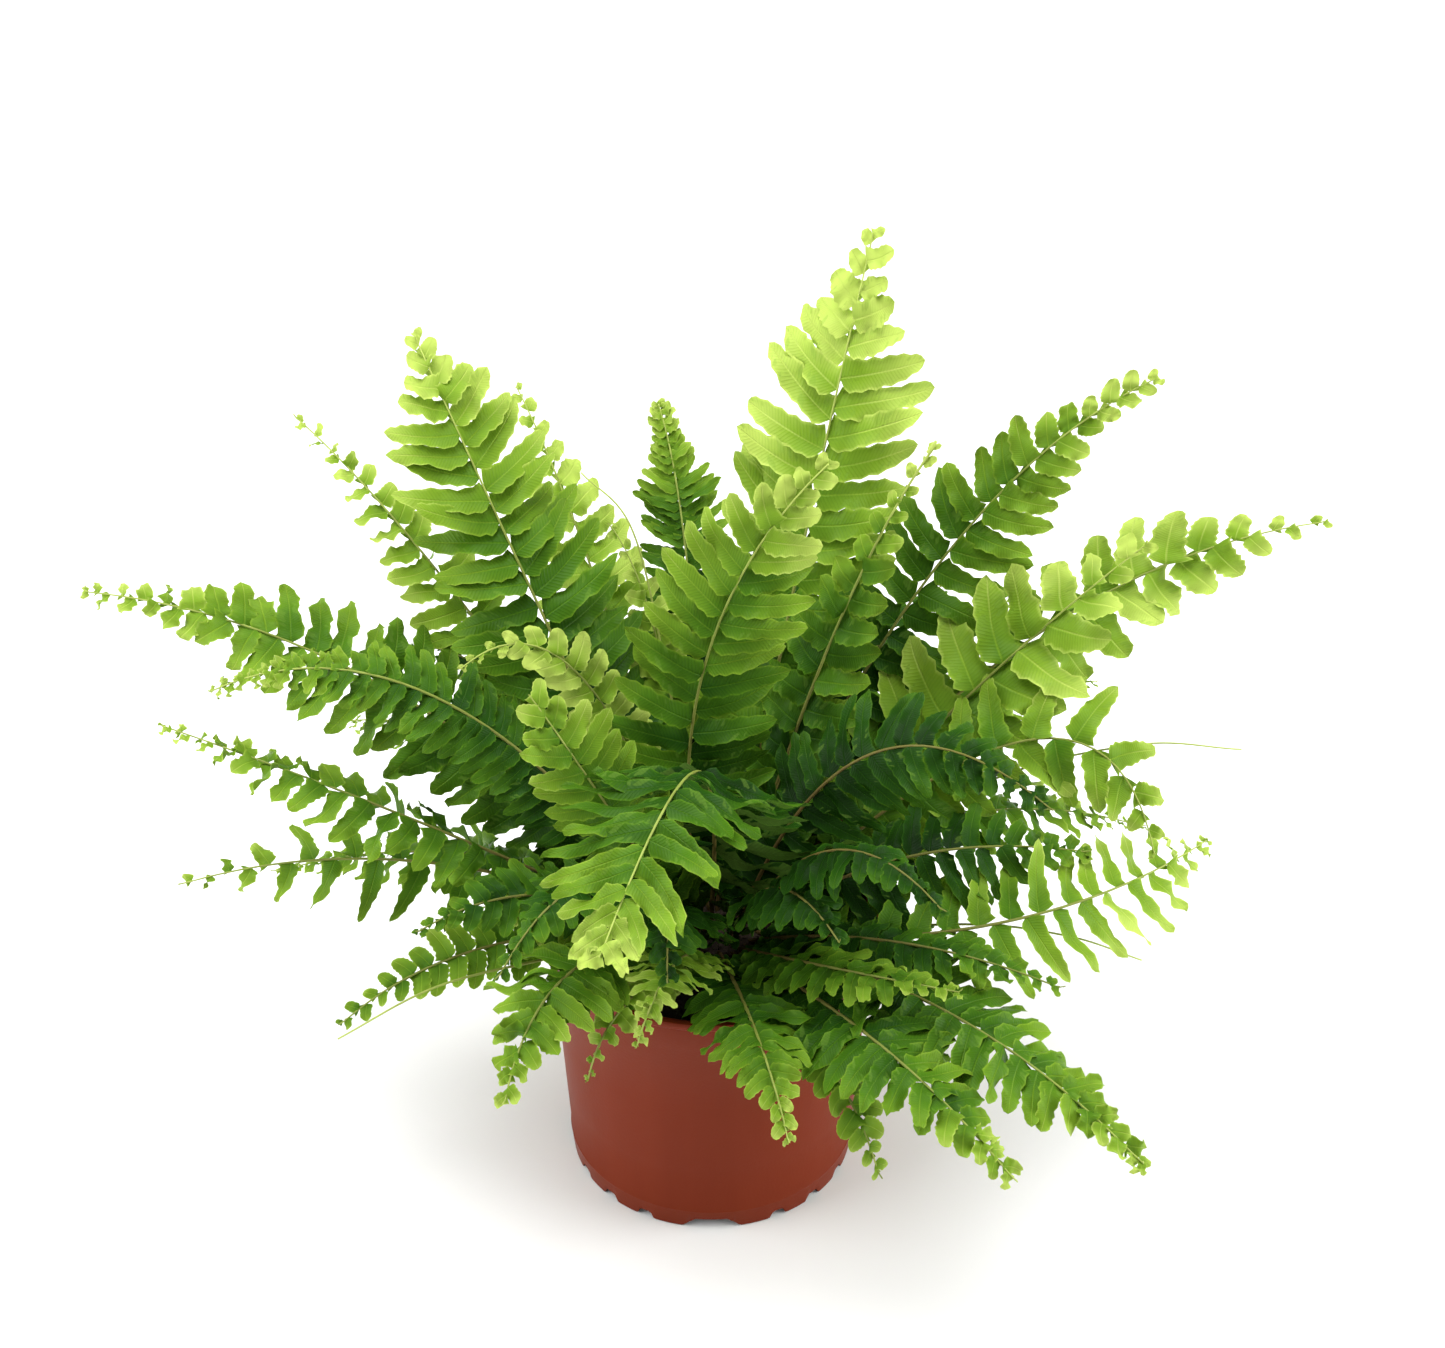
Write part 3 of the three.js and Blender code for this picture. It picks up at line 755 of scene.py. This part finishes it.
def placeLeaflets(plan, leaf, path, rng):
    sides, distance, v = leafletPlaces(plan, path, rng)
    count = len(sides)
    spot, along, across, up = pathAt(path, distance)

    def spread(middle, amount):
        return (middle + rng.normal(0, 1, count) * amount)[:, None]

    share = bladeShare(v, plan["taper"], plan["least"])
    length = (plan["half"] * share * rng.uniform(0.88, 1.06, count))[:, None]
    length = np.maximum(length, plan["shortest"])
    width = plan["leafletShare"] * (plan["spacing"] * plan["gap"]) * plan["wide"] * plan["narrow"]
    width = np.minimum(width, length * plan["widest"])
    lean = np.radians(spread(plan["lean"][0] + plan["lean"][1] * v ** 2.4, 5))
    droop = np.radians(spread(plan["droop"] * (1 - 0.4 * v), 6))
    twist = np.radians(spread(plan["shingle"], plan["twist"]))
    curl = np.radians(spread(plan["curl"], 9)) + 1e-3
    spiral = np.radians(spread(0, plan["spiral"]))
    sweep = spread(plan["sweep"], 0.04)
    ruffle = plan["ruffle"] * rng.uniform(0.6, 1.3, count)[:, None]
    fold = spread(plan["fold"], 0.12)
    waves = rng.uniform(1.1, 2.3, count)[:, None]
    phase = rng.uniform(0, 6.28, (3, count))[:, :, None]

    # the way out along each leaflet, the way across it to the tip, and the way up from its face
    ray = across * sides[:, None] * np.cos(lean) + along * np.sin(lean)
    ray = ray * np.cos(droop) - up * np.sin(droop)
    tipward = unit(along - (along * ray).sum(1, keepdims=True) * ray)
    top = np.cross(tipward, ray) * sides[:, None]
    tipward, top = (tipward * np.cos(twist) + top * np.sin(twist),
                    top * np.cos(twist) - tipward * np.sin(twist))

    # the flat template takes its outline, teeth, waves, twist and curl
    g = (leaf["spots"][:, 0] + 1) / 2
    u = (0.55 * g + 0.45 * (0.5 - 0.5 * np.cos(np.pi * g)))[None, :]        # closer rows at both ends
    w = leaf["spots"][:, 1][None, :]
    layer = leaf["spots"][:, 2][None, :]
    edge = np.abs(w)
    column = np.round(g * plan["leafletLength"]).astype(int)
    tooth = np.where(column % 2 == 0, 1.0, -1.0)[None, :] * (edge > 0.99)
    uneven = rng.normal(1, 0.35, (count, plan["leafletLength"] + 1))[:, column]
    grown = np.clip(length / plan["toothLength"], 0.15, 1)
    outline = leafletOutline(u, w, 1 - plan["narrow"]) * (1 + plan["tooth"] * grown * tooth * uneven)
    y = width * w * outline
    z = (fold * edge + 0.14 * np.sin(5.5 * u + phase[2])) * width * outline
    sway = np.sin(6.28 * waves * u + np.where(w > 0, phase[0], phase[1]))
    z = z + ruffle * width * edge ** 1.5 * sway * np.minimum(1, u * 5)
    z = z + layer * plan["leafletThick"] / 2
    turn = spiral * u
    y, z = y * np.cos(turn) - z * np.sin(turn), y * np.sin(turn) + z * np.cos(turn)
    y = y + sweep * length * u ** 2
    bend = curl * u
    forward = length / curl * np.sin(bend) + z * np.sin(bend)
    height = z * np.cos(bend) - length / curl * (1 - np.cos(bend))
    spots = (spot[:, None, :] + ray[:, None, :] * forward[..., None]
             + tipward[:, None, :] * y[..., None] + top[:, None, :] * height[..., None])

    low, high = plan["tone"]
    tone = (low + (high - low) * v ** plan["mood"])[:, None] + spread(0, 0.05)
    # the tips grow lighter, and painted shade darkens the middle of each leaflet towards its base at the
    # midrib
    tone = np.clip(tone + plan["tipLight"] * u ** 1.6 - 0.12 * (1 - edge) * (1 - u), 0, 1)
    uv = np.stack([np.broadcast_to(u, tone.shape).ravel(), np.broadcast_to(w, tone.shape).ravel()], -1)
    return sides, spots.reshape(-1, 3), tone.ravel(), uv


def placeStem(plan, stem, path):
    at = stem["spots"][:, 2] + 0.5
    spot, along, across, up = pathAt(path, at * path["length"][-1])
    thick = plan["stemRadius"][0] * (1 - at) ** 1.2 + plan["stemRadius"][1]
    thick = thick + 0.2 * (plan["coil"] - frondPlan["coil"]) * at ** 8      # a larger coil is thicker
    ring = across * stem["spots"][:, :1] + up * stem["spots"][:, 1:2]
    tone = np.clip(0.1 + 0.9 * at ** 0.8 * (0.35 + 0.65 * plan["tone"][1]), 0, 1)
    return spot + ring * thick[:, None], tone, np.stack([at, stem["spots"][:, 0]], -1)


def buildFrond(frond, leaf, stem, materials):
    plan = {**frondPlan, **frond}
    rng = np.random.default_rng(sum(ord(c) * (i + 3) for i, c in enumerate(frond["name"])))
    path = frondPath(plan)
    sides, leafSpots, leafTone, leafUv = placeLeaflets(plan, leaf, path, rng)
    stemSpots, stemTone, stemUv = placeStem(plan, stem, path)
    bm = bmesh.new()
    bm.from_mesh(stem["mesh"])
    for side in sides:
        bm.from_mesh(leaf["left"] if side > 0 else leaf["right"])
    name = "fern_" + frond["name"]
    mesh = meshFrom(bm, name)
    placeSpots(mesh, np.vstack([stemSpots, leafSpots]))
    addTone(mesh, np.concatenate([stemTone, leafTone]))
    addLeafUv(mesh, np.vstack([stemUv, leafUv]))
    placePiece(mesh, name, materials, "frond_" + frond["name"], plan["edgeAngle"])


def buildFronds(stemGreen):
    leafBm = leafletTemplate(frondPlan)
    rightMesh, spots = templateMesh(leafBm.copy(), "leafletRight")
    bmesh.ops.reverse_faces(leafBm, faces=leafBm.faces)
    leftMesh = meshFrom(leafBm, "leafletLeft")
    leaf = {"left": leftMesh, "right": rightMesh, "spots": spots}
    stemMesh, stemSpots = templateMesh(stemTemplate(frondPlan), "stem")
    stem = {"mesh": stemMesh, "spots": stemSpots}
    pattern = leafPatternGroup()
    materials = [leafMaterial("leafUpper", pattern, leafPaint["upper"]),
                 leafMaterial("leafUnder", pattern, leafPaint["under"]), stemGreen]
    for frond in fronds:
        buildFrond(frond, leaf, stem, materials)
    for mesh in (leftMesh, rightMesh, stemMesh):
        bpy.data.meshes.remove(mesh)


# Bare creeping stems, and one midrib that has lost its leaflets: points in mm
runnerPlan = {
    "radius": (0.62, 0.30),
    "stemSides": 8,
    "stemSteps": 60,
    "routeSteps": 20,
    "tone": (0.35, 0.95),
}

runners = [
    dict(name="runner_left", points=[(-21, -10, 101), (-60, -38, 114), (-95, -50, 112), (-128, -58, 96)]),
    dict(name="runner_right", points=[(20, 6, 101), (95, 28, 140), (150, 26, 160), (188, 22, 161)]),
    dict(name="runner_front", points=[(22, -8, 101), (88, -18, 114), (125, -22, 112), (152, -22, 101)]),
    dict(name="bare_stalk", points=[(-1, 6, 101), (-16, 40, 182), (-28, 62, 228), (-46, 74, 244)]),
]


# A smooth curve through the points, as even rows of points
def smoothRoute(points, steps):
    p = np.array(points, float)
    p = np.vstack([2 * p[0] - p[1], p, 2 * p[-1] - p[-2]])
    rows = []
    for a, b, c, d in zip(p, p[1:], p[2:], p[3:]):
        t = np.linspace(0, 1, steps, endpoint=False)[:, None]
        rows.append(0.5 * (2 * b + (c - a) * t + (2 * a - 5 * b + 4 * c - d) * t ** 2
                           + (3 * b - a - 3 * c + d) * t ** 3))
    return np.vstack(rows + [p[-2:-1]])


def buildRunner(runner, material):
    plan = runnerPlan
    name = "fern_" + runner["name"]
    spots = smoothRoute(runner["points"], plan["routeSteps"])
    along = unit(np.gradient(spots, axis=0))
    across = unit(np.cross([0.3, 0.2, 1.0], along))
    path = withLength({"spots": spots, "along": along, "across": across, "up": np.cross(along, across)})
    mesh, template = templateMesh(stemTemplate(plan), name)
    at = template[:, 2] + 0.5
    spot, along, across, up = pathAt(path, at * path["length"][-1])
    thick = plan["radius"][0] + (plan["radius"][1] - plan["radius"][0]) * at
    placeSpots(mesh, spot + (across * template[:, :1] + up * template[:, 1:2]) * thick[:, None])
    addTone(mesh, plan["tone"][0] + (plan["tone"][1] - plan["tone"][0]) * at)
    mesh.polygons.foreach_set("material_index", np.zeros(len(mesh.polygons), np.int32))
    placePiece(mesh, name, [material], runner["name"], None)


# Pot, in mm. Angles are degrees round from the front
potPlan = {
    "steps": 360,
    "height": 104.0,
    "footHeight": 6.0,
    "footRadius": 52.5,
    "footWidth": 4.5,
    "wallTop": 58.5,
    "rimRadius": 60.5,
    "rimHeight": 3.0,
    "wall": 1.4,
    "ledge": 0.35,              # the small steps above the foot and below the rim
    "ledgeLow": 8.5,
    "ledgeHigh": 90.0,
    "arch": {"width": 22.0, "top": 12.0, "depth": 4.5, "angles": (0, 90, 180, 270)},
    "slot": {"width": 7.0, "top": 4.0, "depth": 3.5, "angles": (27.5, 45, 62.5)},
    "drains": 6,
    "drainRing": 33.0,
    "drainRadius": 4.0,
}


def potWall(height):
    p = potPlan
    return p["footRadius"] + (p["wallTop"] - p["footRadius"]) * height / (p["height"] - p["rimHeight"])


# How far the foot's lower edge is cut up at an angle
def notchRise(angle):
    p = potPlan
    rise = 0.0
    for notch, turns in ((p["arch"], [0]), (p["slot"], [0, 90, 180, 270])):
        for middle in [a + turn for a in notch["angles"] for turn in turns]:
            away = abs((angle - middle + 180) % 360 - 180) * math.pi / 180 * p["footRadius"]
            slope = (notch["width"] - notch["top"]) / 2
            rise = max(rise, notch["depth"] * min(1, max(0, (notch["width"] / 2 - away) / slope)))
    return rise


def buildPot(clay, shade):
    p = potPlan
    foot, top, wall, ledge = p["footHeight"], p["height"], p["wall"], p["ledge"]
    outer, rim, lip = p["footRadius"], p["rimRadius"], p["wallTop"]
    ring = outer - p["footWidth"]
    low, high, under = p["ledgeLow"], p["ledgeHigh"], top - p["rimHeight"]
    floor = foot + wall
    inner = potWall(floor) - wall
    bm = lathe([
        (0, foot), (ring - 1.5, foot), (ring - 0.4, foot - 1.2), (ring, 0.3), (ring + 0.4, 0),
        (outer - 0.5, 0), (outer, 0.4), (potWall(3) + 0.1, 3),
        (potWall(foot) + ledge, foot + 1.5), (potWall(low) + ledge, low),
        (potWall(low), low + 0.5), (potWall(30), 30), (potWall(60), 60),
        (potWall(high), high), (potWall(high) + ledge, high + 0.5), (lip + ledge, under - 0.5),
        (rim - 0.5, under), (rim, under + 0.6), (rim, top - 0.8), (rim - 0.3, top - 0.2),
        (rim - 0.9, top), (lip - 0.2, top), (lip - 0.9, top - 0.4), (lip - wall, top - 1.6),
        (potWall(60) - wall, 60), (inner, floor + 3), (inner - 1, floor + 0.8), (inner - 3, floor),
        (p["drainRing"] + 8, floor), (p["drainRing"] - 8, floor), (0, floor),
    ], p["steps"])
    for v in bm.verts:
        if v.co.z < foot - 1.3:
            v.co.z = max(v.co.z, notchRise(math.degrees(math.atan2(v.co.x, -v.co.y))))
    for face in bm.faces:
        middle = face.calc_center_median()
        inside = math.hypot(middle.x, middle.y) < potWall(middle.z) - 0.2 and middle.z < top - 1
        face.material_index = 1 if inside else 0
    bmesh.ops.scale(bm, vec=(mm, mm, mm), verts=bm.verts)
    cutDrains(finishPiece(bm, "nursery_pot", [clay, shade], "pot", sharp=40))


# Round holes through the pot's floor
def cutDrains(pot):
    p = potPlan
    bm = bmesh.new()
    for i in range(p["drains"]):
        angle = (i + 0.5) * 2 * math.pi / p["drains"]
        spot = (p["drainRing"] * math.cos(angle), p["drainRing"] * math.sin(angle), p["footHeight"])
        bmesh.ops.create_cone(bm, cap_ends=True, segments=32, radius1=p["drainRadius"],
                              radius2=p["drainRadius"], depth=12, matrix=Matrix.Translation(spot))
    bmesh.ops.scale(bm, vec=(mm, mm, mm), verts=bm.verts)
    cutter = bpy.data.objects.new("drainCutter", meshFrom(bm, "drainCutter"))
    scene.collection.objects.link(cutter)
    cut = pot.modifiers.new("drains", "BOOLEAN")
    cut.operation = "DIFFERENCE"
    cut.solver = "EXACT"
    cut.object = cutter
    bpy.context.view_layer.update()
    holed = bpy.data.meshes.new_from_object(pot.evaluated_get(bpy.context.evaluated_depsgraph_get()))
    pot.modifiers.remove(cut)
    pot.data = holed
    bpy.data.objects.remove(cutter)


# Potting mix: a low dome with crumbs on it
soilPlan = {
    "top": 91.0,
    "dome": 3.0,
    "gap": 0.4,
    "rings": 26,
    "steps": 96,
    "lumps": 0.9,
    "crumbs": 420,
    "crumbSize": (0.5, 1.7),
}


def buildSoil(material):
    p = soilPlan
    top, dome = p["top"], p["dome"]
    bottom = potPlan["footHeight"] + potPlan["wall"] + p["gap"]
    edge = potWall(top) - potPlan["wall"] - p["gap"]
    low = potWall(bottom) - potPlan["wall"] - p["gap"]
    profile = [(0, bottom), (low - 4, bottom), (low - 1.5, bottom + 3.5), (edge - 0.6, top - 3)]
    for i in range(p["rings"] + 1):
        share = 1 - i / p["rings"]
        profile.append(((edge - 0.8) * share, top + dome * (1 - share ** 2) - 0.6))
    bm = lathe(profile, p["steps"])
    for v in bm.verts:
        if v.co.z > top - 1 and math.hypot(v.co.x, v.co.y) < edge - 1.5:
            v.co.z += p["lumps"] * (noise.noise(v.co * 0.35) + 0.5 * noise.noise(v.co * 0.9))
    scatter = random.Random(11)
    for i in range(p["crumbs"]):
        angle, radius = scatter.uniform(0, 2 * math.pi), (edge - 2.5) * math.sqrt(scatter.random())
        size = scatter.uniform(*p["crumbSize"])
        height = top + dome * (1 - (radius / edge) ** 2) - 0.3
        place = Matrix.Translation((radius * math.cos(angle), radius * math.sin(angle), height))
        turn = Matrix.Rotation(scatter.uniform(0, 6.28), 4,
                               Vector((scatter.random(), scatter.random(), 1)))
        stretch = [scatter.uniform(0.7, 1.5), scatter.uniform(0.6, 1.1), scatter.uniform(0.5, 0.9), 1]
        bmesh.ops.create_icosphere(bm, subdivisions=1, radius=size,
                                   matrix=place @ turn @ Matrix.Diagonal(stretch))
    bmesh.ops.scale(bm, vec=(mm, mm, mm), verts=bm.verts)
    finishPiece(bm, "potting_soil", [material], "soil", sharp=50)


# Crown: the woody clump under the fronds, covered with brown scales
crownPlan = {
    "foot": 94.6,
    "top": 100.0,
    "radius": 27.0,
    "rings": 14,
    "steps": 72,
    "lumps": 1.0,
    "scales": 420,
    "scaleSize": (2.0, 4.5),
    "scaleLean": (25, 85),      # degrees out from upright
}


def buildCrown(material):
    p = crownPlan
    foot, rise = p["foot"], p["top"] - p["foot"] - 1
    profile = [(0, foot), (p["radius"] - 1, foot)]
    for i in range(p["rings"] + 1):
        turn = math.pi / 2 * i / p["rings"]
        profile.append((p["radius"] * math.cos(turn), foot + 1 + rise * math.sin(turn)))
    bm = lathe(profile, p["steps"])
    for v in bm.verts:
        if v.co.z > foot + 0.5:
            v.co.z += p["lumps"] * (noise.noise(v.co * 0.25) + 0.6 * noise.noise(v.co * 0.8))
    scatter = random.Random(5)
    for i in range(p["scales"]):
        angle, share = scatter.uniform(0, 2 * math.pi), math.sqrt(scatter.random())
        radius = p["radius"] * 0.97 * share
        length = scatter.uniform(*p["scaleSize"])
        height = foot + 1 + rise * math.sqrt(1 - share ** 2) + length * 0.2
        place = Matrix.Translation((radius * math.cos(angle), radius * math.sin(angle), height))
        lean = Matrix.Rotation(math.radians(scatter.uniform(*p["scaleLean"])), 4, "Y")
        flat = Matrix.Diagonal((0.35, 1, 1, 1))
        bmesh.ops.create_cone(bm, cap_ends=True, segments=5, radius1=length * 0.17, radius2=0.05,
                              depth=length, matrix=place @ Matrix.Rotation(angle, 4, "Z") @ lean @ flat)
    bmesh.ops.scale(bm, vec=(mm, mm, mm), verts=bm.verts)
    finishPiece(bm, "fern_crown", [material], "crown", sharp=50)


buildStudio()
say("studio ready")
plastic = plasticGroup()
buildPot(potMaterial("potClay", plastic, potPaint["clay"]),
         potMaterial("potShade", plastic, potPaint["shade"]))
say("pot ready")
earth = earthGroup()
buildSoil(earthMaterial("soilGrains", earth, earthPaint["soil"]))
buildCrown(earthMaterial("crownScales", earth, earthPaint["crown"]))
say("soil and crown ready")
stemGreen = stemMaterial()
buildFronds(stemGreen)
say("fronds ready")
for runner in runners:
    buildRunner(runner, stemGreen)
say("runners ready")
